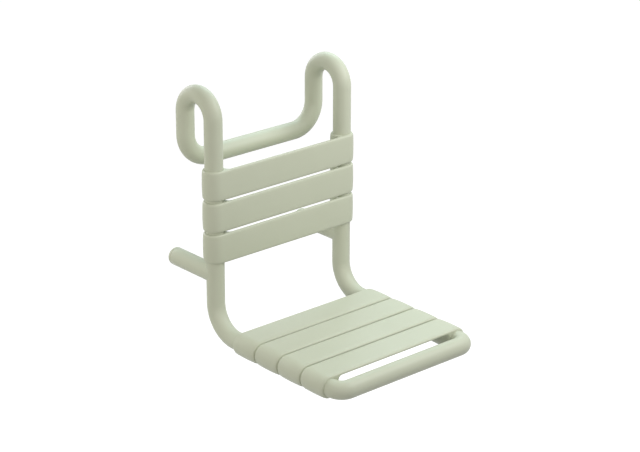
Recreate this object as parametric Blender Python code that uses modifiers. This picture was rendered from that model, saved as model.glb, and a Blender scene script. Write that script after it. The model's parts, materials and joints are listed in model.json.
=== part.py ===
"""Hook-on shower seat: a bent tube frame that hangs on a wall rail, with moulded slats on seat and back.

Units are metres. +Z is up, +Y points to the wall and X runs across the seat.
The origin is the middle of the wall rail's axis, where the two hooks hang on it.
"""
import math

import bmesh
import bpy
from mathutils import Matrix, Vector

# Tubes: a polyamide sheath over a steel core
TUBE_DIAMETER = 0.033
SHEATH_WALL = 0.004
CORE_WALL = 0.002
FIT_GAP = 0.0003

# Wall rail that the hooks hang on
RAIL_DIAMETER = 0.033
RAIL_CLEARANCE = 0.0062

# Frame, measured to the tubes' axes
FRAME_WIDTH = 0.2984
REAR_BAR_DROP = 0.099
REAR_CORNER_RADIUS = 0.049
SEAT_DROP = 0.401
SEAT_BEND_RADIUS = 0.056
SEAT_REACH = 0.3333
FRONT_CORNER_RADIUS = 0.020
SPIGOT_LENGTH = 0.064
SPIGOT_WALL = 0.004

# Slats
SLAT_THICKNESS = 0.008
SLEEVE_WALL = 0.0048
SLAT_GAP = 0.0043
SLAT_ROOT_FILLET = 0.006
PLATE_EDGE_FLAT = 0.0008
SLEEVE_LIP = 0.0006
SLEEVE_RIM_LENGTH = 0.009
BACK_SLAT_COUNT = 3
BACK_SLAT_WIDTH = 0.0545
BACK_SLAT_RISE = 0.1356
SEAT_SLAT_COUNT = 4
SEAT_BEND_CLEARANCE = 0.0145
FRONT_CORNER_CLEARANCE = 0.0045

# Wall stubs
STUB_BELOW_SLAT = 0.0262
STUB_REACH = 0.120
STUB_LEDGE = 0.010
STUB_BORE = 0.023
STUB_SCREW_DIAMETER = 0.008
STUB_SCREW_HEAD = 0.013
STUB_SCREW_HEAD_HEIGHT = 0.008
STUB_SCREW_PAST_AXIS = 0.007
ANCHOR_LENGTH = 0.028
PAD_THICKNESS = 0.009
PAD_EDGE_ROUND = 0.007
PAD_PLUG_LENGTH = 0.014

# Facets
SHEATH_SIDES = 16
CORE_SIDES = 8
STUB_SIDES = 18
BEND_STEP = math.radians(18)
SLEEVE_STEP = math.radians(18)
RIM_STEP = math.radians(30)
FILLET_STEP = math.radians(36)
PAD_STEP = math.radians(30)
SHARP_ANGLE = math.radians(40)
MERGE_DISTANCE = 0.00001

# Materials as colour, roughness and metallic value
SAGE_PLASTIC = ((0.56, 0.61, 0.47, 1), 0.42, 0)
GALVANISED_STEEL = ((0.45, 0.46, 0.47, 1), 0.5, 0.9)
STAINLESS_STEEL = ((0.62, 0.62, 0.61, 1), 0.3, 1)

# Derived radii, to the corners of each faceted round
TUBE_RADIUS = TUBE_DIAMETER / 2
CORE_RADIUS = TUBE_RADIUS - SHEATH_WALL - FIT_GAP
PLUG_RADIUS = CORE_RADIUS - CORE_WALL - FIT_GAP
HOOK_BEND_RADIUS = RAIL_DIAMETER / 2 + RAIL_CLEARANCE + TUBE_RADIUS
BORE_RADIUS = TUBE_RADIUS + FIT_GAP
SLEEVE_RADIUS = BORE_RADIUS + SLEEVE_WALL
PLATE_EDGE_ROUND = (SLAT_THICKNESS - PLATE_EDGE_FLAT) / 2
SLEEVE_RIM_DEPTH = SLEEVE_WALL - SLEEVE_LIP

# Derived places of the frame
HALF_WIDTH = FRAME_WIDTH / 2
UPRIGHT_Y = -HOOK_BEND_RADIUS
REAR_LEG_Y = HOOK_BEND_RADIUS
FRONT_Y = UPRIGHT_Y - SEAT_REACH
HOOK_TOP_Z = RAIL_DIAMETER / 2 + TUBE_RADIUS
SEAT_Z = -SEAT_DROP

# Derived places of the slats
BACK_PITCH = BACK_SLAT_WIDTH + SLAT_GAP
BACK_TOP_Z = SEAT_Z + BACK_SLAT_RISE + BACK_SLAT_WIDTH / 2 + (BACK_SLAT_COUNT - 1) * BACK_PITCH
SEAT_SLATS_REAR_Y = UPRIGHT_Y - SEAT_BEND_RADIUS - SEAT_BEND_CLEARANCE
SEAT_SLATS_FRONT_Y = FRONT_Y + FRONT_CORNER_RADIUS + FRONT_CORNER_CLEARANCE
SEAT_PITCH = (SEAT_SLATS_REAR_Y - SEAT_SLATS_FRONT_Y + SLAT_GAP) / SEAT_SLAT_COUNT
SEAT_SLAT_WIDTH = SEAT_PITCH - SLAT_GAP
SEAT_REAR_Y = SEAT_SLATS_REAR_Y - SEAT_SLAT_WIDTH / 2

# The frame's joints lie in the middle of the top back slat and of the front seat slat
UPPER_JOINT_Z = BACK_TOP_Z
FRONT_JOINT_Y = SEAT_SLATS_FRONT_Y + SEAT_SLAT_WIDTH / 2

# Derived places of the stubs, measured from the uprights' axes
STUB_Z = SEAT_Z + BACK_SLAT_RISE - STUB_BELOW_SLAT
STUB_SCREW_SEAT = BORE_RADIUS + STUB_LEDGE
STUB_END = STUB_REACH - PAD_THICKNESS - FIT_GAP

# Turns an upright piece's top to the wall, and a back slat's face up
LAID_BACK = (-math.pi / 2, 0, 0)


def clear_scene():
    """Remove what a new file holds."""
    for item in list(bpy.data.objects):
        bpy.data.objects.remove(item, do_unlink=True)


def make_collection(name):
    """A collection linked to the scene."""
    group = bpy.data.collections.new(name)
    bpy.context.scene.collection.children.link(group)
    return group


def make_material(name, finish):
    """A Principled material from a colour, a roughness and a metallic value."""
    colour, roughness, metallic = finish
    material = bpy.data.materials.new(name)
    material.use_nodes = True
    shader = material.node_tree.nodes["Principled BSDF"]
    shader.inputs["Base Color"].default_value = colour
    shader.inputs["Roughness"].default_value = roughness
    shader.inputs["Metallic"].default_value = metallic
    material.diffuse_color = colour
    return material


def place_object(name, mesh, group, finish, location=(0, 0, 0), rotation=(0, 0, 0)):
    """An object with its own material."""
    item = bpy.data.objects.new(name, mesh)
    item.location = location
    item.rotation_euler = rotation
    group.objects.link(item)
    mesh.materials.append(make_material(name, finish))
    mesh.shade_smooth()
    mesh.set_sharp_from_angle(angle=SHARP_ANGLE)
    return item


def place_cutter(name, mesh, group, location, rotation=(0, 0, 0)):
    """A hidden object that others are cut with."""
    cutter = bpy.data.objects.new(name, mesh)
    cutter.location = location
    cutter.rotation_euler = rotation
    cutter.hide_render = True
    cutter.display_type = "WIRE"
    group.objects.link(cutter)
    return cutter


def cut(item, cutter):
    """Subtract a cutter."""
    boolean = item.modifiers.new(cutter.name, "BOOLEAN")
    boolean.operation = "DIFFERENCE"
    boolean.solver = "EXACT"
    boolean.object = cutter


def profile_mesh(name, profile, closed=False):
    """Edges through (radius, height) pairs, ready to be turned about Z."""
    edges = [(index, index + 1) for index in range(len(profile) - 1)]
    if closed:
        edges.append((len(profile) - 1, 0))
    mesh = bpy.data.meshes.new(name)
    mesh.from_pydata([(radius, 0, height) for radius, height in profile], edges, [])
    return mesh


def turn(item, sides):
    """Turn an object's profile about its Z axis."""
    screw = item.modifiers.new("turn", "SCREW")
    screw.steps = sides
    screw.render_steps = sides
    screw.use_merge_vertices = True
    screw.merge_threshold = MERGE_DISTANCE


def cylinder_mesh(name, radius, length, sides):
    """A closed cylinder about Z whose flats keep the radius, with a flat and not a corner on each axis."""
    corner = radius / math.cos(math.pi / sides)
    bm = bmesh.new()
    bmesh.ops.create_cone(bm, cap_ends=True, segments=sides, radius1=corner, radius2=corner, depth=length,
                          matrix=Matrix.Rotation(math.pi / sides, 4, "Z"))
    mesh = bpy.data.meshes.new(name)
    bm.to_mesh(mesh)
    bm.free()
    return mesh


def step_count(angle, step):
    """How many equal steps of at most this size an arc takes."""
    return math.ceil(angle / step - MERGE_DISTANCE)


def arc_points(centre_x, centre_y, radius, start, end, step):
    """Points along an arc from one angle to another, in equal steps."""
    steps = step_count(abs(end - start), step)
    angles = [start + (end - start) * index / steps for index in range(steps + 1)]
    return [(centre_x + radius * math.cos(angle), centre_y + radius * math.sin(angle)) for angle in angles]


def rounded_path(corners, radii):
    """Points of a path with an arc at each inner corner, or just the corner where its radius is 0."""
    points = [corners[0]]
    for before, corner, after, radius in zip(corners, corners[1:], corners[2:], radii):
        if radius == 0:
            points.append(corner)
            continue
        ahead = (corner - before).normalized()
        onward = (after - corner).normalized()
        bend = ahead.angle(onward)
        start = corner - ahead * radius * math.tan(bend / 2)
        centre = start + (onward - ahead * ahead.dot(onward)).normalized() * radius
        steps = step_count(bend, BEND_STEP)
        for step in range(steps + 1):
            spin = Matrix.Rotation(bend * step / steps, 3, ahead.cross(onward))
            point = centre + spin @ (start - centre)
            if (point - points[-1]).length > MERGE_DISTANCE:
                points.append(point)
    return points + [corners[-1]]


def poly_curve(name, points):
    """A curve through points."""
    curve = bpy.data.curves.new(name, "CURVE")
    curve.dimensions = "3D"
    spline = curve.splines.new("POLY")
    spline.points.add(len(points) - 1)
    for knot, point in zip(spline.points, points):
        knot.co = (*point, 1)
    return curve


def mesh_from_curve(curve):
    """A welded mesh of a curve, which is then removed."""
    name = curve.name
    guide = bpy.data.objects.new(name, curve)
    bpy.context.scene.collection.objects.link(guide)
    mesh = bpy.data.meshes.new_from_object(guide.evaluated_get(bpy.context.evaluated_depsgraph_get()))
    bpy.data.objects.remove(guide, do_unlink=True)
    bpy.data.curves.remove(curve)
    bm = bmesh.new()
    bm.from_mesh(mesh)
    bmesh.ops.remove_doubles(bm, verts=bm.verts, dist=MERGE_DISTANCE)
    bm.to_mesh(mesh)
    bm.free()
    mesh.name = name
    return mesh


def hollow_tube(name, points, radius, wall, sides, group, finish):
    """A tube along a path, with a wall and open ends."""
    curve = poly_curve(name, points)
    curve.bevel_depth = radius
    curve.bevel_resolution = (sides - 4) // 2
    tube = place_object(name, mesh_from_curve(curve), group, finish)
    shell = tube.modifiers.new("wall", "SOLIDIFY")
    shell.thickness = wall
    shell.offset = -1
    return tube


def side_name(side):
    """Left is at negative X, as seen from the front."""
    return "left" if side < 0 else "right"


def upright_point(side, height):
    """A point on an upright's axis."""
    return Vector((side * HALF_WIDTH, UPRIGHT_Y, height))


def rear_point(side, height):
    """A point on the axis of a hook's rear leg."""
    return Vector((side * HALF_WIDTH, REAR_LEG_Y, height))


def rail_point(side, depth):
    """A point on a seat rail's axis."""
    return Vector((side * HALF_WIDTH, depth, SEAT_Z))


def mirrored_path(half, radii):
    """A rounded path across the middle, from the left half's corners and their radii."""
    middle = Vector((0, half[-1].y, half[-1].z))
    other_half = [Vector((-corner.x, corner.y, corner.z)) for corner in reversed(half)]
    return rounded_path(half + [middle] + other_half, radii + [0] + radii[::-1])


def upper_path():
    """Up the left upright, over its hook, across behind and back over the right hook."""
    return mirrored_path([upright_point(-1, UPPER_JOINT_Z + FIT_GAP / 2), upright_point(-1, HOOK_TOP_Z),
                          rear_point(-1, HOOK_TOP_Z), rear_point(-1, -REAR_BAR_DROP)],
                         [HOOK_BEND_RADIUS, HOOK_BEND_RADIUS, REAR_CORNER_RADIUS])


def side_path(side):
    """Down an upright, round the bend and forward along the seat rail."""
    return rounded_path([upright_point(side, UPPER_JOINT_Z - FIT_GAP / 2), upright_point(side, SEAT_Z),
                         rail_point(side, FRONT_JOINT_Y + FIT_GAP / 2)], [SEAT_BEND_RADIUS])


def front_path():
    """Forward, across the front and back again."""
    return mirrored_path([rail_point(-1, FRONT_JOINT_Y - FIT_GAP / 2), rail_point(-1, FRONT_Y)],
                         [FRONT_CORNER_RADIUS])


def build_tube(name, points, group):
    """A polyamide sheath and the steel core inside it."""
    sheath = hollow_tube(name + "_tube", points, TUBE_RADIUS, SHEATH_WALL, SHEATH_SIDES, group, SAGE_PLASTIC)
    core = hollow_tube(name + "_core", points, CORE_RADIUS, CORE_WALL, CORE_SIDES, group, GALVANISED_STEEL)
    return sheath, core


def build_spigot(name, middle, along, group):
    """A hollow plug that joins two cores end to end."""
    reach = Vector(along) * SPIGOT_LENGTH / 2
    hollow_tube(name, [middle - reach, middle + reach], PLUG_RADIUS, SPIGOT_WALL, CORE_SIDES, group,
                GALVANISED_STEEL)


def build_frame(group, cutters):
    """Four bent tubes, the spigots that join them and the holes for the stub screws."""
    build_tube("upper", upper_path(), group)
    build_tube("front", front_path(), group)
    hole = STUB_SCREW_DIAMETER / 2 + FIT_GAP
    for side in (-1, 1):
        label = side_name(side)
        drill = place_cutter(label + "_side_drill",
                             cylinder_mesh(label + "_side_drill", hole, TUBE_DIAMETER, CORE_SIDES), cutters,
                             upright_point(side, STUB_Z) + Vector((0, TUBE_RADIUS, 0)), LAID_BACK)
        for tube in build_tube(label + "_side", side_path(side), group):
            cut(tube, drill)
        build_spigot(label + "_upper_spigot", upright_point(side, UPPER_JOINT_Z), (0, 0, 1), group)
        build_spigot(label + "_front_spigot", rail_point(side, FRONT_JOINT_Y), (0, 1, 0), group)


def facing_arc(centre_x, centre_y, radius, start, end, step):
    """Points along an arc and the directions that they face. A hollow arc has a negative radius."""
    return [(centre_x + radius * x, centre_y + radius * y, x, y) for x, y in arc_points(0, 0, 1, start, end, step)]


def slat_outline():
    """A slat seen along its width, face down, with the origin midway between the tubes.

    The face is tangent to both sleeves. A fillet leads from each sleeve to the plate's back.
    Each point is its place, the direction that it faces and how far it belongs to a sleeve, from 0 to 1.
    """
    back = SLAT_THICKNESS - SLEEVE_RADIUS
    fillet_y = back + SLAT_ROOT_FILLET
    fillet_x = HALF_WIDTH - math.sqrt((SLEEVE_RADIUS + SLAT_ROOT_FILLET) ** 2 - fillet_y ** 2)
    meet = math.pi - math.asin(fillet_y / (SLEEVE_RADIUS + SLAT_ROOT_FILLET))
    sleeve = facing_arc(HALF_WIDTH, 0, SLEEVE_RADIUS, -math.pi / 2, math.pi / 2, SLEEVE_STEP)
    sleeve += facing_arc(HALF_WIDTH, 0, SLEEVE_RADIUS, math.pi / 2, meet, SLEEVE_STEP)[1:]
    fillet = facing_arc(fillet_x, fillet_y, -SLAT_ROOT_FILLET, meet, math.pi / 2, FILLET_STEP)[1:]
    half = [(HALF_WIDTH - SLEEVE_RADIUS, -SLEEVE_RADIUS, 0, -1, 0)]
    half += [(*point, 1) for point in sleeve]
    half += [(*point, 1 - (index + 1) / len(fillet)) for index, point in enumerate(fillet)]
    return half + [(-x, y, -facing_x, facing_y, share) for x, y, facing_x, facing_y, share in reversed(half)]


def rim_levels(width):
    """Heights across a slat, each with how far the sleeves and the plate stand back there."""
    levels = []
    for x, y in arc_points(0, 0, 1, math.pi / 2, 0, RIM_STEP):
        from_end = SLEEVE_RIM_LENGTH * (1 - x)
        above = max(0, PLATE_EDGE_ROUND - from_end)
        plate_inset = PLATE_EDGE_ROUND - math.sqrt(PLATE_EDGE_ROUND ** 2 - above ** 2)
        levels.append((width / 2 - from_end, SLEEVE_RIM_DEPTH * (1 - y), plate_inset))
    lower = [(-height, *insets) for height, *insets in reversed(levels)]
    return lower + levels


def slat_mesh(name, width):
    """A slat's body: its outline carried across its width, with rims that curve in at both ends."""
    bm = bmesh.new()
    rings = []
    for height, sleeve_inset, plate_inset in rim_levels(width):
        ring = []
        for x, y, facing_x, facing_y, share in slat_outline():
            inset = plate_inset + share * (sleeve_inset - plate_inset)
            ring.append(bm.verts.new((x - facing_x * inset, y - facing_y * inset, height)))
        rings.append(ring)
    for lower, upper in zip(rings, rings[1:]):
        for index in range(len(lower)):
            bm.faces.new((lower[index - 1], lower[index], upper[index], upper[index - 1]))
    bm.faces.new(reversed(rings[0]))
    bm.faces.new(rings[-1])
    mesh = bpy.data.meshes.new(name)
    bm.to_mesh(mesh)
    bm.free()
    return mesh


def build_slat(name, width, middle, rotation, group, cutters):
    """A slat with a bore through the sleeve at each end."""
    slat = place_object(name, slat_mesh(name, width), group, SAGE_PLASTIC, middle, rotation)
    profile = [(0, width), (BORE_RADIUS, width), (BORE_RADIUS, -width), (0, -width)]
    for side in (-1, 1):
        label = f"{name}_{side_name(side)}_bore"
        bore = place_cutter(label, profile_mesh(label, profile), cutters,
                            middle + Vector((side * HALF_WIDTH, 0, 0)), rotation)
        turn(bore, SHEATH_SIDES)
        cut(slat, bore)


def build_slats(group, cutters):
    """Back slats from the top down and seat slats from the rear forward."""
    for index in range(BACK_SLAT_COUNT):
        build_slat(f"back_slat_{index + 1}", BACK_SLAT_WIDTH,
                   Vector((0, UPRIGHT_Y, BACK_TOP_Z - index * BACK_PITCH)), (0, 0, 0), group, cutters)
    for index in range(SEAT_SLAT_COUNT):
        build_slat(f"seat_slat_{index + 1}", SEAT_SLAT_WIDTH,
                   Vector((0, SEAT_REAR_Y - index * SEAT_PITCH, SEAT_Z)), LAID_BACK, group, cutters)


def build_stub(label, base, group, cutters):
    """A wall stub, coped to fit its upright and hollow from the wall end down to a ledge."""
    hole = STUB_SCREW_DIAMETER / 2 + FIT_GAP
    profile = [(TUBE_RADIUS, STUB_END), (TUBE_RADIUS, 0), (hole, 0), (hole, STUB_SCREW_SEAT),
               (STUB_BORE / 2, STUB_SCREW_SEAT), (STUB_BORE / 2, STUB_END)]
    name = label + "_stub"
    stub = place_object(name, profile_mesh(name, profile, closed=True), group, SAGE_PLASTIC, base, LAID_BACK)
    turn(stub, STUB_SIDES)
    cope = cylinder_mesh(name + "_cope", BORE_RADIUS, 2 * TUBE_DIAMETER, SHEATH_SIDES)
    cut(stub, place_cutter(name + "_cope", cope, cutters, base))


def build_stub_screw(label, base, group):
    """The socket screw that pulls a stub onto its upright, its head on the stub's ledge."""
    head = STUB_SCREW_HEAD / 2
    shank = STUB_SCREW_DIAMETER / 2
    seat = STUB_SCREW_SEAT + FIT_GAP
    profile = [(0, seat + STUB_SCREW_HEAD_HEIGHT), (head, seat + STUB_SCREW_HEAD_HEIGHT), (head, seat),
               (shank, seat), (shank, -STUB_SCREW_PAST_AXIS), (0, -STUB_SCREW_PAST_AXIS)]
    name = label + "_stub_screw"
    turn(place_object(name, profile_mesh(name, profile), group, STAINLESS_STEEL, base, LAID_BACK), CORE_SIDES)


def build_anchor(label, base, group, cutters):
    """The threaded plug in the upright's core that the stub screw goes into."""
    name = label + "_anchor"
    profile = [(0, ANCHOR_LENGTH / 2), (PLUG_RADIUS, ANCHOR_LENGTH / 2), (PLUG_RADIUS, -ANCHOR_LENGTH / 2),
               (0, -ANCHOR_LENGTH / 2)]
    anchor = place_object(name, profile_mesh(name, profile), group, GALVANISED_STEEL, base)
    turn(anchor, CORE_SIDES)
    drill = cylinder_mesh(name + "_drill", STUB_SCREW_DIAMETER / 2 + FIT_GAP, TUBE_DIAMETER, CORE_SIDES)
    cut(anchor, place_cutter(name + "_drill", drill, cutters, base, LAID_BACK))


def build_pad(label, base, group):
    """The pad that plugs into a stub and rests on the wall with its flat end."""
    plug = STUB_BORE / 2 - FIT_GAP
    shoulder = STUB_REACH - PAD_THICKNESS
    rounded_edge = arc_points(TUBE_RADIUS - PAD_EDGE_ROUND, STUB_REACH - PAD_EDGE_ROUND, PAD_EDGE_ROUND,
                              math.pi / 2, 0, PAD_STEP)
    profile = [(0, STUB_REACH)] + rounded_edge + [
        (TUBE_RADIUS, shoulder), (plug, shoulder), (plug, shoulder - PAD_PLUG_LENGTH),
        (0, shoulder - PAD_PLUG_LENGTH)]
    name = label + "_wall_pad"
    turn(place_object(name, profile_mesh(name, profile), group, SAGE_PLASTIC, base, LAID_BACK), STUB_SIDES)


def build_stubs(group, cutters):
    """Both wall stubs with their screws, anchors and pads."""
    for side in (-1, 1):
        label = side_name(side)
        base = upright_point(side, STUB_Z)
        build_stub(label, base, group, cutters)
        build_stub_screw(label, base, group)
        build_anchor(label, base, group, cutters)
        build_pad(label, base, group)


def main():
    clear_scene()
    group = make_collection("shower_seat")
    cutters = make_collection("cutters")
    build_frame(group, cutters)
    build_slats(group, cutters)
    build_stubs(group, cutters)


main()
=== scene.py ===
"""Hook-on shower seat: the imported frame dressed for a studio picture.

Units are metres, on the CAD's axes: +Z is up, +Y points to the wall and X runs across the seat.
"""
import json
import math

import bmesh
import bpy
from mathutils import Matrix, Vector


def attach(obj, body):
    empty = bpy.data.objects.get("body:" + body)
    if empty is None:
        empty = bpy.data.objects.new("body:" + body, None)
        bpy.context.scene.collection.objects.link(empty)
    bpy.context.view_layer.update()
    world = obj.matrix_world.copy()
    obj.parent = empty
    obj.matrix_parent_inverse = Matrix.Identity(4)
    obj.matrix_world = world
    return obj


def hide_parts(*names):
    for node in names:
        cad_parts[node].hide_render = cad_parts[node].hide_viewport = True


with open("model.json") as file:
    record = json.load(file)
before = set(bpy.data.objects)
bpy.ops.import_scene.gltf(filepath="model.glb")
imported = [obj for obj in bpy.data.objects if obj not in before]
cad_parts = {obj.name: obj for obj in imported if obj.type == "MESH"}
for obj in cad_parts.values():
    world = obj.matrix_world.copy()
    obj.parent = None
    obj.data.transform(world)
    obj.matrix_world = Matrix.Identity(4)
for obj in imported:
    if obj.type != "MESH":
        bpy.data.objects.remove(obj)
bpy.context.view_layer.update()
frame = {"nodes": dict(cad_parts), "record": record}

# Sizes that the CAD gives the frame
TUBE_RADIUS = 0.0165
TUBE_WALL = 0.004
HALF_WIDTH = 0.1492
UPRIGHT_Y = -0.0392
REAR_LEG_Y = 0.0392
HOOK_TOP_Z = 0.033
REAR_BAR_Z = -0.099
SEAT_Z = -0.401
FRONT_Y = -0.3725
UPPER_JOINT_Z = -0.12055
FRONT_JOINT_Y = -0.319825
HOOK_BEND_RADIUS = 0.0392
REAR_CORNER_RADIUS = 0.049
SEAT_BEND_RADIUS = 0.056
FRONT_CORNER_RADIUS = 0.020
FIT_GAP = 0.0003

# Sizes that it gives the slats. The outermost slats lie over the frame's joints
SLEEVE_RADIUS = 0.0216
SLAT_THICKNESS = 0.008
PLATE_EDGE_DEPTH = 0.0036
SLAT_ROOT_FILLET = 0.006
BACK_SLAT_WIDTH = 0.0545
BACK_SLAT_HEIGHTS = (UPPER_JOINT_Z, -0.17935, -0.23815)
SEAT_SLAT_WIDTH = 0.05635
SEAT_SLAT_DEPTHS = (-0.137875, -0.198525, -0.259175, FRONT_JOINT_Y)

# Finer shape of the slats: long shoulders and round rims on the sleeves, a faint crown, and close bores
SHOULDER_DEPTH = 0.0018
SHOULDER_LENGTH = 0.010
SLEEVE_RIM_DEPTH = 0.0026
SLEEVE_RIM_LENGTH = 0.0036
PLATE_EDGE_LENGTH = 0.0055
SLAT_CROWN = 0.0008
BORE_RADIUS = 0.01658
BORE_LIP = 0.0003

# Sizes that the CAD gives the wall stubs and their pads. Depths are measured from an upright's axis
STUB_Z = -0.2916
STUB_LEDGE_Y = 0.0268
STUB_END_Y = 0.1107
STUB_REACH = 0.120
STUB_BORE_RADIUS = 0.0115
STUB_HOLE_RADIUS = 0.0043
PAD_THICKNESS = 0.009
PAD_EDGE_ROUND = 0.007
PAD_PLUG_LENGTH = 0.014

# Finer shape of the stubs and pads: small round edges, and the places of their rings of faces
EDGE_ROUND = 0.0005
STUB_FIRST_RING_Y = 0.022
STUB_RING_MARGIN = 0.003
STUB_RINGS = 7
COPE_RING_RADII = (TUBE_RADIUS, 0.0135, 0.0105, 0.0075, STUB_HOLE_RADIUS)
PAD_FACE_RING_RADIUS = 0.006

# Lock screws, sunk into the hidden side of each sleeve
SCREW_HEAD_RADIUS = 0.0036
SCREW_HEAD_THICKNESS = 0.0012
SCREW_HEAD_TAPER = 0.0011
SCREW_HEAD_EDGE = 0.0001
SCREW_POCKET_RADIUS = 0.0041
SCREW_POCKET_DEPTH = 0.0021
SCREW_SUNK = 0.0008
SCREW_SPREAD = 0.015

# A lock screw's hexagonal socket: each level has a height and a share of the half width
SOCKET_MOUTH_RADIUS = 0.0018
SOCKET_HALF_WIDTH = 0.0013
SOCKET_LEVELS = ((-0.0001, 1), (-0.0009, 1), (-0.0011, 0.5))

# Fineness. A rim's levels crowd towards its edge by the power RIM_SPACING
TUBE_SIDES = 64
LATHE_SIDES = 64
SCREW_SIDES = 48
BEND_STEP = math.radians(3)
SLEEVE_STEP = math.radians(4)
LONGEST_STRETCH = 0.012
FACE_STEPS = 12
BLEND_STEPS = 10
BACK_STEPS = 10
MIDDLE_STEPS = 3
RIM_STEPS = 16
RIM_SPACING = 2.2
EDGE_STEPS = 3
PAD_ROUND_STEPS = 10
SHARP_ANGLE = math.radians(40)

# Most of a noise's values lie between these two
NOISE_LOW = 0.3
NOISE_HIGH = 0.7

# Sage plastic. A noise has a scale and a detail, a relief has a depth and a strength
SAGE_DARK = (0.500, 0.537, 0.402)
SAGE_LIGHT = (0.516, 0.553, 0.418)
SAGE_CLOUDS = (9, 3)
SAGE_SHEEN = (160, 4)
SAGE_ROUGHNESS = (0.36, 0.46)
SAGE_WAVES = (45, 1)
SAGE_WAVE_RELIEF = (0.0002, 0.25)
SAGE_GRAIN = (2200, 2)
SAGE_GRAIN_RELIEF = (0.00006, 0.5)
SAGE_REFRACTION = 1.5
SAGE_SPECULAR = 0.25

# Galvanised steel
ZINC_DARK = (0.38, 0.39, 0.41)
ZINC_LIGHT = (0.52, 0.53, 0.54)
ZINC_SPANGLE_SCALE = 260
ZINC_SHEEN = (300, 3)
ZINC_ROUGHNESS = (0.4, 0.6)
ZINC_PITS = (900, 3)
ZINC_RELIEF = (0.0001, 0.4)
ZINC_METALLIC = 0.9

# Stainless steel
STAINLESS_DARK = (0.55, 0.55, 0.54)
STAINLESS_LIGHT = (0.66, 0.66, 0.65)
STAINLESS_MARKS = (500, 3)
STAINLESS_STRETCH = (1, 8, 1)
STAINLESS_ROUGHNESS = (0.24, 0.36)
STAINLESS_RELIEF = (0.00005, 0.4)

# Surroundings
WHITE = (1, 1, 1, 1)
AMBIENT = 0.41
FLOOR_Z = -0.87
FLOOR_RADIUS = 30
FLOOR_SIDES = 96
FLOOR_COLOUR = (0.4, 0.4, 0.4, 1)
FLOOR_ROUGHNESS = 0.9
FLOOR_GLOW = 0.8

# Lamps, each with its name, kind, azimuth, elevation, strength and colour. Angles are in degrees, and a
# strength is in watts per square metre for a SUN and in watts for an AREA
SEAT_MIDDLE = Vector((0, -0.19, -0.2))
SUN_SOFTNESS = 50
SOFTBOX_SIZE = 0.8
SOFTBOX_DISTANCE = 1.2
LAMPS = (
    ("front_left", "SUN", -45, 8, 0.95, (1.06, 0.95, 0.99)),
    ("behind", "SUN", 180, 8, 1.62, (0.98, 0.96, 1.06)),
    ("front_right_box", "AREA", 45, 45, 11.3, (0.99, 0.98, 1.03)),
    ("behind_right_box", "AREA", 135, 45, 4.8, (0.82, 1.05, 1.13)),
    ("left_box", "AREA", -90, 10, 1.95, (1.06, 1.0, 0.94)),
    ("behind_left_box", "AREA", -135, 10, 1.65, (1.05, 1.03, 0.92)),
)

# The camera, fitted to the photograph: back from its target and a little aside. Angles are in degrees
CAMERA_AZIMUTH = -41.328
CAMERA_ELEVATION = 21.594
CAMERA_ROLL = 0.164
CAMERA_TARGET = Vector((0, -0.1885, -0.2005))
CAMERA_DISTANCE = 3.731
CAMERA_RIGHT = -0.02581
CAMERA_UP = 0.00623
CAMERA_LENS = 119.883
CAMERA_SENSOR_WIDTH = 36
CAMERA_CLIP_END = 100

TURN_Z_TO_Y = Matrix.Rotation(-math.pi / 2, 4, "X")


def material_tree(name):
    """A new material, its node tree and its shader."""
    material = bpy.data.materials.new(name)
    material.use_nodes = True
    tree = material.node_tree
    return material, tree, tree.nodes["Principled BSDF"]


def noise(tree, scale, detail, stretch=(1, 1, 1)):
    """Noise over the object's own coordinates."""
    place = tree.nodes.new("ShaderNodeTexCoord")
    mapping = tree.nodes.new("ShaderNodeMapping")
    mapping.inputs["Scale"].default_value = stretch
    texture = tree.nodes.new("ShaderNodeTexNoise")
    texture.inputs["Scale"].default_value = scale
    texture.inputs["Detail"].default_value = detail
    tree.links.new(place.outputs["Object"], mapping.inputs["Vector"])
    tree.links.new(mapping.outputs["Vector"], texture.inputs["Vector"])
    return texture.outputs["Fac"]


def spread(tree, value, low, high):
    """Stretch a noise's values over low to high."""
    node = tree.nodes.new("ShaderNodeMapRange")
    node.inputs["From Min"].default_value = NOISE_LOW
    node.inputs["From Max"].default_value = NOISE_HIGH
    node.inputs["To Min"].default_value = low
    node.inputs["To Max"].default_value = high
    tree.links.new(value, node.inputs["Value"])
    return node.outputs["Result"]


def tint(tree, value, dark, light):
    """Blend two colours by a value."""
    node = tree.nodes.new("ShaderNodeMix")
    node.data_type = "RGBA"
    node.inputs["A"].default_value = (*dark, 1)
    node.inputs["B"].default_value = (*light, 1)
    tree.links.new(value, node.inputs["Factor"])
    return node.outputs["Result"]


def bump(tree, height, depth, strength, under=None):
    """Relief of a depth in metres, laid over another."""
    node = tree.nodes.new("ShaderNodeBump")
    node.inputs["Distance"].default_value = depth
    node.inputs["Strength"].default_value = strength
    tree.links.new(height, node.inputs["Height"])
    if under:
        tree.links.new(under, node.inputs["Normal"])
    return node.outputs["Normal"]


def sage_plastic():
    """Satin through-coloured polyamide: faint clouds of colour, a fine moulded grain and slow waviness."""
    material, tree, shader = material_tree("sage_plastic")
    clouds = spread(tree, noise(tree, *SAGE_CLOUDS), 0, 1)
    tree.links.new(tint(tree, clouds, SAGE_DARK, SAGE_LIGHT), shader.inputs["Base Color"])
    roughness = spread(tree, noise(tree, *SAGE_SHEEN), *SAGE_ROUGHNESS)
    tree.links.new(roughness, shader.inputs["Roughness"])
    waves = bump(tree, noise(tree, *SAGE_WAVES), *SAGE_WAVE_RELIEF)
    grain = bump(tree, noise(tree, *SAGE_GRAIN), *SAGE_GRAIN_RELIEF, under=waves)
    tree.links.new(grain, shader.inputs["Normal"])
    shader.inputs["IOR"].default_value = SAGE_REFRACTION
    shader.inputs["Specular IOR Level"].default_value = SAGE_SPECULAR
    return material


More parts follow.
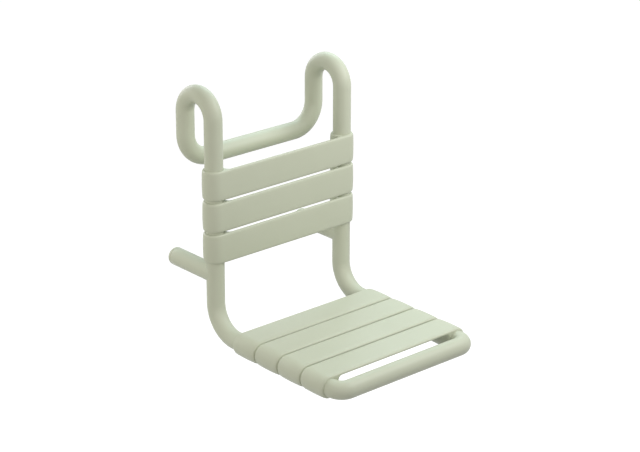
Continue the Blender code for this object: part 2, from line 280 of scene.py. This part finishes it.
def galvanised_steel():
    """Dull zinc with a faint spangle."""
    material, tree, shader = material_tree("galvanised_steel")
    place = tree.nodes.new("ShaderNodeTexCoord")
    spangle = tree.nodes.new("ShaderNodeTexVoronoi")
    spangle.inputs["Scale"].default_value = ZINC_SPANGLE_SCALE
    tree.links.new(place.outputs["Object"], spangle.inputs["Vector"])
    grey = tint(tree, spangle.outputs["Distance"], ZINC_DARK, ZINC_LIGHT)
    tree.links.new(grey, shader.inputs["Base Color"])
    roughness = spread(tree, noise(tree, *ZINC_SHEEN), *ZINC_ROUGHNESS)
    tree.links.new(roughness, shader.inputs["Roughness"])
    tree.links.new(bump(tree, noise(tree, *ZINC_PITS), *ZINC_RELIEF), shader.inputs["Normal"])
    shader.inputs["Metallic"].default_value = ZINC_METALLIC
    return material


def stainless_steel():
    """Bright steel with fine turning marks."""
    material, tree, shader = material_tree("stainless_steel")
    marks = noise(tree, *STAINLESS_MARKS, STAINLESS_STRETCH)
    tree.links.new(tint(tree, marks, STAINLESS_DARK, STAINLESS_LIGHT), shader.inputs["Base Color"])
    tree.links.new(spread(tree, marks, *STAINLESS_ROUGHNESS), shader.inputs["Roughness"])
    tree.links.new(bump(tree, marks, *STAINLESS_RELIEF), shader.inputs["Normal"])
    shader.inputs["Metallic"].default_value = 1
    return material


MATERIALS = {
    "sage_plastic": sage_plastic(),
    "galvanised_steel": galvanised_steel(),
    "stainless_steel": stainless_steel(),
}


def dress_cad_nodes():
    """Give every CAD node the finish of its slot in the record."""
    for part in frame["record"]["subparts"]:
        mesh = frame["nodes"][part["node"]].data
        mesh.materials.clear()
        mesh.materials.append(MATERIALS[part["material_slot"]])


def place_piece(name, mesh, slot, nodes=()):
    """A piece that rides on the frame and stands for some of its nodes."""
    mesh.materials.append(MATERIALS[slot])
    mesh.shade_smooth()
    mesh.set_sharp_from_angle(angle=SHARP_ANGLE)
    piece = bpy.data.objects.new(name, mesh)
    bpy.context.scene.collection.objects.link(piece)
    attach(piece, "root")
    if nodes:
        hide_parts(*nodes)
    return piece


def stitch(draft, rows, closed=False):
    """Quads between rows of vertices, each row a closed ring. Closed joins the last row to the first."""
    pairs = list(zip(rows, rows[1:]))
    if closed:
        pairs.append((rows[-1], rows[0]))
    for low, high in pairs:
        for index in range(len(low)):
            after = (index + 1) % len(low)
            draft.faces.new((low[index], low[after], high[after], high[index]))


def finish_mesh(draft, name):
    """The mesh of a closed body, its faces turned out."""
    bmesh.ops.recalc_face_normals(draft, faces=draft.faces)
    mesh = bpy.data.meshes.new(name)
    draft.to_mesh(mesh)
    draft.free()
    return mesh


def bent_path(corners, radii):
    """Points and headings along a path with a fine arc at each inner corner."""
    heading = (corners[1] - corners[0]).normalized()
    path = [(corners[0], heading)]
    for before, corner, after, radius in zip(corners, corners[1:], corners[2:], radii):
        ahead = (corner - before).normalized()
        onward = (after - corner).normalized()
        bend = ahead.angle(onward)
        start = corner - ahead * radius * math.tan(bend / 2)
        centre = start + (onward - ahead * ahead.dot(onward)).normalized() * radius
        steps = math.ceil(bend / BEND_STEP)
        for step in range(steps + 1):
            spin = Matrix.Rotation(bend * step / steps, 3, ahead.cross(onward))
            path.append((centre + spin @ (start - centre), spin @ ahead))
    path.append((corners[-1], (corners[-1] - corners[-2]).normalized()))
    return path


def straight_fill(path):
    """Add points to the long straights, so that none of their faces is very long."""
    filled = [path[0]]
    for (start, _), (end, onward) in zip(path, path[1:]):
        parts = max(1, math.ceil((end - start).length / LONGEST_STRETCH))
        for part in range(1, parts):
            filled.append((start.lerp(end, part / parts), onward))
        filled.append((end, onward))
    return filled


def tube_mesh(name, path):
    """A hollow tube along a path that starts at right angles to X."""
    rims = []
    side = Vector((1, 0, 0))
    for (point, heading), (_, last) in zip(path, [path[0]] + path):
        side = last.rotation_difference(heading) @ side
        rims.append((point, side.copy(), heading.cross(side)))
    draft = bmesh.new()
    rows = []
    for radius, run in ((TUBE_RADIUS, rims), (TUBE_RADIUS - TUBE_WALL, rims[::-1])):
        for point, side, other in run:
            row = []
            for index in range(TUBE_SIDES):
                angle = 2 * math.pi * index / TUBE_SIDES
                outward = side * math.cos(angle) + other * math.sin(angle)
                row.append(draft.verts.new(point + outward * radius))
            rows.append(row)
    stitch(draft, rows, closed=True)
    return finish_mesh(draft, name)


def upright(side, height):
    """A point on an upright's axis."""
    return Vector((side * HALF_WIDTH, UPRIGHT_Y, height))


def rear_leg(side, height):
    """A point on the axis of a hook's rear leg."""
    return Vector((side * HALF_WIDTH, REAR_LEG_Y, height))


def seat_rail(side, depth):
    """A point on a seat rail's axis."""
    return Vector((side * HALF_WIDTH, depth, SEAT_Z))


def build_tubes():
    """The upper tube with both hooks, the two side tubes and the front tube."""
    upper_end = UPPER_JOINT_Z + FIT_GAP / 2
    upper = bent_path(
        [upright(-1, upper_end), upright(-1, HOOK_TOP_Z), rear_leg(-1, HOOK_TOP_Z), rear_leg(-1, REAR_BAR_Z),
         rear_leg(1, REAR_BAR_Z), rear_leg(1, HOOK_TOP_Z), upright(1, HOOK_TOP_Z), upright(1, upper_end)],
        [HOOK_BEND_RADIUS, HOOK_BEND_RADIUS, REAR_CORNER_RADIUS,
         REAR_CORNER_RADIUS, HOOK_BEND_RADIUS, HOOK_BEND_RADIUS])
    front_end = FRONT_JOINT_Y - FIT_GAP / 2
    front = bent_path(
        [seat_rail(-1, front_end), seat_rail(-1, FRONT_Y), seat_rail(1, FRONT_Y), seat_rail(1, front_end)],
        [FRONT_CORNER_RADIUS, FRONT_CORNER_RADIUS])
    paths = {"upper_tube": upper, "front_tube": front}
    for side, label in ((-1, "left"), (1, "right")):
        paths[label + "_side_tube"] = bent_path(
            [upright(side, UPPER_JOINT_Z - FIT_GAP / 2), upright(side, SEAT_Z),
             seat_rail(side, FRONT_JOINT_Y + FIT_GAP / 2)], [SEAT_BEND_RADIUS])
    for node, path in paths.items():
        mesh = tube_mesh(node + "_skin", straight_fill(path))
        place_piece(node + "_skin", mesh, "sage_plastic", [node])


def arc(centre_x, centre_y, radius, start, end, way):
    """Outline points on an arc, each with the way its surface faces: 1 outward from the centre, -1 inward."""
    steps = math.ceil(abs(end - start) / SLEEVE_STEP)
    points = []
    for step in range(steps + 1):
        angle = start + (end - start) * step / steps
        x, y = math.cos(angle), math.sin(angle)
        points.append((centre_x + radius * x, centre_y + radius * y, x * way, y * way))
    return points


def ease(value):
    """A smooth step from 0 to 1."""
    return value * value * (3 - 2 * value)


def slat_outline():
    """A slat's section across both tubes, with its face at the lowest y.

    Each point is its place, the way its surface faces and how far it belongs to a sleeve, from 0 to 1.
    """
    back = SLAT_THICKNESS - SLEEVE_RADIUS
    fillet_y = back + SLAT_ROOT_FILLET
    reach = SLEEVE_RADIUS + SLAT_ROOT_FILLET
    meet = math.pi - math.asin(fillet_y / reach)
    fillet_x = HALF_WIDTH + reach * math.cos(meet)
    plate_end = HALF_WIDTH - SLEEVE_RADIUS
    half = [(plate_end * step / FACE_STEPS, -SLEEVE_RADIUS, 0, -1, 0) for step in range(FACE_STEPS)]
    for step in range(BLEND_STEPS):
        x = plate_end + SLEEVE_RADIUS * step / BLEND_STEPS
        half.append((x, -SLEEVE_RADIUS, 0, -1, ease(step / BLEND_STEPS)))
    half += [(*point, 1) for point in arc(HALF_WIDTH, 0, SLEEVE_RADIUS, -math.pi / 2, meet, 1)]
    fillet = arc(fillet_x, fillet_y, SLAT_ROOT_FILLET, meet - math.pi, -math.pi / 2, -1)
    half += [(*point, 1 - ease(step / (len(fillet) - 1))) for step, point in enumerate(fillet)][1:]
    half += [(fillet_x * step / BACK_STEPS, back, 0, 1, 0) for step in reversed(range(BACK_STEPS))]
    mirrored = [(-x, y, -way_x, way_y, share) for x, y, way_x, way_y, share in reversed(half[1:-1])]
    return half + mirrored


def rounding(from_end, length):
    """How far a quarter ellipse has curved in at a distance from its end, from 0 to 1."""
    into = max(0, 1 - from_end / length)
    return 1 - math.sqrt(1 - into ** 2)


def rim_levels(width):
    """Heights across a slat, each with how far its sleeves and its plate stand back there."""
    half = width / 2
    from_ends = [half - (half - SHOULDER_LENGTH) * step / MIDDLE_STEPS for step in range(MIDDLE_STEPS)]
    from_ends += [SHOULDER_LENGTH * (1 - step / RIM_STEPS) ** RIM_SPACING for step in range(RIM_STEPS + 1)]
    levels = []
    for from_end in from_ends:
        height = half - from_end
        crown = SLAT_CROWN * (height / half) ** 2
        shoulder = (SHOULDER_DEPTH - SLAT_CROWN) * rounding(from_end, SHOULDER_LENGTH)
        rim = SLEEVE_RIM_DEPTH * rounding(from_end, SLEEVE_RIM_LENGTH)
        edge = (PLATE_EDGE_DEPTH - SLAT_CROWN) * rounding(from_end, PLATE_EDGE_LENGTH)
        levels.append((height, crown + shoulder + rim, crown + edge))
    return [(-height, *insets) for height, *insets in reversed(levels[1:])] + levels


def bore_levels(width):
    """Pairs of radius and height down a sleeve's bore, with a rounded lip at each mouth."""
    lip = []
    for step in range(RIM_STEPS + 1):
        angle = math.pi / 2 * step / RIM_STEPS
        radius = BORE_RADIUS + BORE_LIP * (1 - math.sin(angle))
        lip.append((radius, width / 2 - BORE_LIP * (1 - math.cos(angle))))
    return lip + [(radius, -height) for radius, height in reversed(lip)]


def ring_edges(ring):
    """The edges that join a ring's vertices."""
    found = []
    for vertex, after in zip(ring, ring[1:] + ring[:1]):
        found += [edge for edge in vertex.link_edges if edge.other_vert(vertex) == after]
    return found


def lathe_rows(draft, profile, sides=LATHE_SIDES, middle_x=0):
    """Rings about an upright axis from (radius, height) pairs."""
    rows = []
    for radius, height in profile:
        row = []
        for index in range(sides):
            angle = 2 * math.pi * index / sides
            x = middle_x + radius * math.cos(angle)
            row.append(draft.verts.new((x, radius * math.sin(angle), height)))
        rows.append(row)
    return rows


def slat_mesh(name, width):
    """A plate whose ends roll into bored sleeves, all rims rounded."""
    draft = bmesh.new()
    outline = slat_outline()
    skin = []
    for height, sleeve_inset, plate_inset in rim_levels(width):
        ring = []
        for x, y, way_x, way_y, share in outline:
            inset = plate_inset + share * (sleeve_inset - plate_inset)
            ring.append(draft.verts.new((x - way_x * inset, y - way_y * inset, height)))
        skin.append(ring)
    stitch(draft, skin)
    low = ring_edges(skin[0])
    high = ring_edges(skin[-1])
    for side in (-1, 1):
        bore = lathe_rows(draft, bore_levels(width), TUBE_SIDES, side * HALF_WIDTH)
        stitch(draft, bore)
        high += ring_edges(bore[0])
        low += ring_edges(bore[-1])
    for rims in (low, high):
        bmesh.ops.triangle_fill(draft, use_beauty=True, edges=rims)
    return finish_mesh(draft, name)


def drill_pockets(mesh, places):
    """Cut a round pocket into the back of the sleeves at each (x, height)."""
    draft = bmesh.new()
    for x, height in places:
        middle = Matrix.Translation((x, SLEEVE_RADIUS, height)) @ Matrix.Rotation(math.pi / 2, 4, "X")
        bmesh.ops.create_cone(
            draft, cap_ends=True, segments=SCREW_SIDES, radius1=SCREW_POCKET_RADIUS,
            radius2=SCREW_POCKET_RADIUS, depth=2 * SCREW_POCKET_DEPTH, matrix=middle)
    drills = bpy.data.objects.new("drills", finish_mesh(draft, "drills"))
    body = bpy.data.objects.new("body", mesh)
    for item in (drills, body):
        bpy.context.scene.collection.objects.link(item)
    boolean = body.modifiers.new("pockets", "BOOLEAN")
    boolean.operation = "DIFFERENCE"
    boolean.solver = "EXACT"
    boolean.object = drills
    drilled = bpy.data.meshes.new_from_object(body.evaluated_get(bpy.context.evaluated_depsgraph_get()))
    drilled.name = mesh.name
    for item in (drills, body):
        bpy.data.objects.remove(item, do_unlink=True)
    return drilled


def lock_screw_mesh(name):
    """A countersunk screw's head with a hexagonal socket, its top at Z 0."""
    head = SCREW_HEAD_RADIUS
    edge = SCREW_HEAD_EDGE
    profile = [(head - SCREW_HEAD_TAPER, -SCREW_HEAD_THICKNESS), (head - edge, -2 * edge), (head, -edge),
               (head - edge, 0), (SOCKET_MOUTH_RADIUS, 0)]
    draft = bmesh.new()
    rows = lathe_rows(draft, profile, SCREW_SIDES)
    for height, share in SOCKET_LEVELS:
        ring = []
        for index in range(SCREW_SIDES):
            angle = 2 * math.pi * index / SCREW_SIDES
            from_flat = angle % (math.pi / 3) - math.pi / 6
            radius = SOCKET_HALF_WIDTH * share / math.cos(from_flat)
            ring.append(draft.verts.new((radius * math.cos(angle), radius * math.sin(angle), height)))
        rows.append(ring)
    stitch(draft, rows)
    draft.faces.new(rows[0])
    draft.faces.new(rows[-1])
    return finish_mesh(draft, name)


def build_slats():
    """Back slats from the top down and seat slats from the rear forward, with their lock screws."""
    plans = []
    for index, height in enumerate(BACK_SLAT_HEIGHTS):
        placing = Matrix.Translation((0, UPRIGHT_Y, height))
        plans.append((f"back_slat_{index + 1}", BACK_SLAT_WIDTH, placing, height == UPPER_JOINT_Z))
    for index, depth in enumerate(SEAT_SLAT_DEPTHS):
        placing = Matrix.Translation((0, depth, SEAT_Z)) @ TURN_Z_TO_Y
        plans.append((f"seat_slat_{index + 1}", SEAT_SLAT_WIDTH, placing, depth == FRONT_JOINT_Y))
    for node, width, placing, joint in plans:
        heights = (-SCREW_SPREAD, SCREW_SPREAD) if joint else (0,)
        places = [(side * HALF_WIDTH, height) for side in (-1, 1) for height in heights]
        mesh = drill_pockets(slat_mesh(node + "_moulding", width), places)
        mesh.transform(placing)
        slat = place_piece(node + "_moulding", mesh, "sage_plastic", [node])
        weights = slat.modifiers.new("weights", "WEIGHTED_NORMAL")
        weights.keep_sharp = True
        for index, (x, height) in enumerate(places):
            name = f"{node}_lock_screw_{index + 1}"
            screw = lock_screw_mesh(name)
            bed = Matrix.Translation((x, SLEEVE_RADIUS - SCREW_SUNK, height)) @ TURN_Z_TO_Y
            screw.transform(placing @ bed)
            place_piece(name, screw, "stainless_steel")


def quarter(centre_radius, centre_height, size, start, steps):
    """Profile points on a lathed piece's edge, a quarter turn down from the start angle."""
    points = []
    for step in range(steps + 1):
        angle = start - math.pi / 2 * step / steps
        points.append((centre_radius + size * math.cos(angle), centre_height + size * math.sin(angle)))
    return points


def stub_mesh(name):
    """A wall stub about Z, coped to its upright and hollow from the far end down to a ledge."""
    ring_run = STUB_END_Y - STUB_RING_MARGIN - STUB_FIRST_RING_Y
    profile = [(STUB_HOLE_RADIUS, STUB_LEDGE_Y), (STUB_BORE_RADIUS, STUB_LEDGE_Y),
               (STUB_BORE_RADIUS, STUB_END_Y)]
    profile += quarter(TUBE_RADIUS - EDGE_ROUND, STUB_END_Y - EDGE_ROUND, EDGE_ROUND, math.pi / 2, EDGE_STEPS)
    for step in reversed(range(STUB_RINGS)):
        profile.append((TUBE_RADIUS, STUB_FIRST_RING_Y + ring_run * step / STUB_RINGS))
    draft = bmesh.new()
    rows = lathe_rows(draft, profile)
    for radius in COPE_RING_RADII:
        ring = []
        for index in range(LATHE_SIDES):
            angle = 2 * math.pi * index / LATHE_SIDES
            x = radius * math.cos(angle)
            ring.append(draft.verts.new((x, radius * math.sin(angle), math.sqrt(BORE_RADIUS ** 2 - x ** 2))))
        rows.append(ring)
    stitch(draft, rows, closed=True)
    return finish_mesh(draft, name)


def pad_mesh(name):
    """A rounded pad about Z whose plug sits in the stub."""
    plug = STUB_BORE_RADIUS - FIT_GAP
    shoulder = STUB_REACH - PAD_THICKNESS
    face_edge = TUBE_RADIUS - PAD_EDGE_ROUND
    profile = [(PAD_FACE_RING_RADIUS, STUB_REACH)]
    profile += quarter(face_edge, STUB_REACH - PAD_EDGE_ROUND, PAD_EDGE_ROUND, math.pi / 2, PAD_ROUND_STEPS)
    profile += quarter(TUBE_RADIUS - EDGE_ROUND, shoulder + EDGE_ROUND, EDGE_ROUND, 0, EDGE_STEPS)
    profile += [(plug, shoulder), (plug, shoulder - PAD_PLUG_LENGTH)]
    draft = bmesh.new()
    rows = lathe_rows(draft, profile)
    stitch(draft, rows)
    draft.faces.new(rows[0])
    draft.faces.new(rows[-1])
    return finish_mesh(draft, name)


def build_stubs():
    """Both wall stubs and their pads."""
    for side, label in ((-1, "left"), (1, "right")):
        placing = Matrix.Translation(upright(side, STUB_Z)) @ TURN_Z_TO_Y
        for node, mesh in ((label + "_stub", stub_mesh(label + "_stub_skin")),
                           (label + "_wall_pad", pad_mesh(label + "_wall_pad_skin"))):
            mesh.transform(placing)
            place_piece(node + "_skin", mesh, "sage_plastic", [node])


def strength_by_ray(tree, seen, rest):
    """One strength for rays from the camera, off gloss or through glass, and another for the rest."""
    path = tree.nodes.new("ShaderNodeLightPath")
    value = path.outputs["Is Camera Ray"]
    for name in ("Is Glossy Ray", "Is Transmission Ray"):
        node = tree.nodes.new("ShaderNodeMath")
        node.operation = "MAXIMUM"
        tree.links.new(value, node.inputs[0])
        tree.links.new(path.outputs[name], node.inputs[1])
        value = node.outputs[0]
    strength = tree.nodes.new("ShaderNodeMapRange")
    strength.inputs["To Min"].default_value = rest
    strength.inputs["To Max"].default_value = seen
    tree.links.new(value, strength.inputs["Value"])
    return strength.outputs["Result"]


def build_world():
    """White to the eye and to gloss, and a plain ambient light for the rest."""
    world = bpy.data.worlds.new("studio")
    bpy.context.scene.world = world
    world.use_nodes = True
    tree = world.node_tree
    background = tree.nodes["Background"]
    background.inputs["Color"].default_value = WHITE
    tree.links.new(strength_by_ray(tree, 1, AMBIENT), background.inputs["Strength"])


def build_floor():
    """A wide pale floor well under the seat, which glows to the eye and so shows no shadow."""
    draft = bmesh.new()
    bmesh.ops.create_circle(draft, cap_ends=True, segments=FLOOR_SIDES, radius=FLOOR_RADIUS)
    mesh = bpy.data.meshes.new("floor")
    draft.to_mesh(mesh)
    draft.free()
    floor = bpy.data.objects.new("floor", mesh)
    floor.location.z = FLOOR_Z
    bpy.context.scene.collection.objects.link(floor)
    material, tree, shader = material_tree("pale_floor")
    shader.inputs["Base Color"].default_value = FLOOR_COLOUR
    shader.inputs["Roughness"].default_value = FLOOR_ROUGHNESS
    shader.inputs["Specular IOR Level"].default_value = 0
    shader.inputs["Emission Color"].default_value = WHITE
    tree.links.new(strength_by_ray(tree, FLOOR_GLOW, 0), shader.inputs["Emission Strength"])
    mesh.materials.append(material)


def toward(azimuth, elevation):
    """The way to a lamp or a camera. Azimuth 0 is in front of the seat, on -Y, and 90 is on +X."""
    across, rise = math.radians(azimuth), math.radians(elevation)
    return Vector((math.sin(across) * math.cos(rise), -math.cos(across) * math.cos(rise), math.sin(rise)))


def build_lamp(name, kind, azimuth, elevation, strength, colour):
    """A soft lamp that points at the seat's middle: a far SUN or a near AREA, a square softbox."""
    lamp = bpy.data.lights.new(name, kind)
    lamp.energy = strength
    lamp.color = colour
    item = bpy.data.objects.new(name, lamp)
    back = toward(azimuth, elevation)
    item.rotation_euler = back.to_track_quat("Z", "Y").to_euler()
    if kind == "SUN":
        lamp.angle = math.radians(SUN_SOFTNESS)
    else:
        lamp.size = SOFTBOX_SIZE
        item.location = SEAT_MIDDLE + back * SOFTBOX_DISTANCE
        item.visible_camera = False
    bpy.context.scene.collection.objects.link(item)


def build_camera():
    """The photograph's view, from a camera fitted to it."""
    back = toward(CAMERA_AZIMUTH, CAMERA_ELEVATION)
    right = Vector((0, 0, 1)).cross(back).normalized()
    up = back.cross(right)
    camera = bpy.data.cameras.new("camera")
    camera.sensor_width = CAMERA_SENSOR_WIDTH
    camera.lens = CAMERA_LENS
    camera.clip_end = CAMERA_CLIP_END
    item = bpy.data.objects.new("camera", camera)
    place = CAMERA_TARGET + right * CAMERA_RIGHT + up * CAMERA_UP + back * CAMERA_DISTANCE
    roll = Matrix.Rotation(math.radians(CAMERA_ROLL), 4, "Z")
    item.matrix_world = Matrix.Translation(place) @ Matrix((right, up, back)).transposed().to_4x4() @ roll
    bpy.context.scene.collection.objects.link(item)
    bpy.context.scene.camera = item


build_camera()
dress_cad_nodes()
build_tubes()
build_slats()
build_stubs()
build_world()
build_floor()
for lamp in LAMPS:
    build_lamp(*lamp)

bpy.context.scene.view_settings.view_transform = "Standard"
